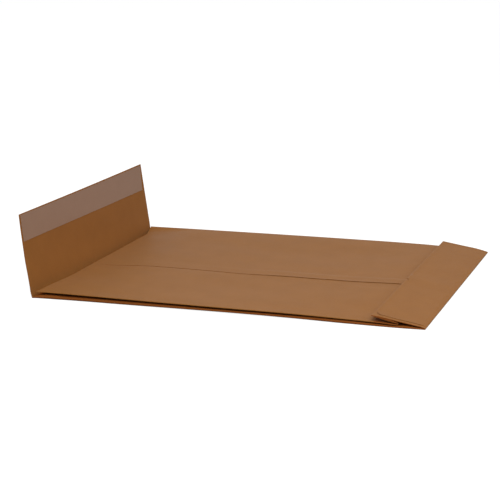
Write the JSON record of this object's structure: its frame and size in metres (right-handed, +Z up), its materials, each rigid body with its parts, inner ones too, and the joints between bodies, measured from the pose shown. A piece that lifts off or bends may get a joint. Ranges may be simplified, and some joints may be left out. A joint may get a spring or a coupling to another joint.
{
  "type": "gusseted envelope",
  "caption": "Kraft paper gusseted envelope with a folded block bottom, lying on its front panel with the peel-and-seal flap raised.",
  "frame": {"origin": "centre of the front panel's outer face, which the envelope lies on, midway between the flap's hinge and the end fold", "axes": "+X from the throat and its raised flap to the end fold of the block bottom, +Y across the envelope, +Z up through the layers"},
  "size_m": [0.3322, 0.229, 0.0688],
  "materials": {
    "kraft": "matt brown kraft paper",
    "adhesive": "tacky clear film",
    "liner": "satin siliconised paper"
  },
  "bodies": {
    "root": {"envelope_body": "kraft", "adhesive_band": "adhesive", "release_liner": "liner"}
  },
  "joints": []
}
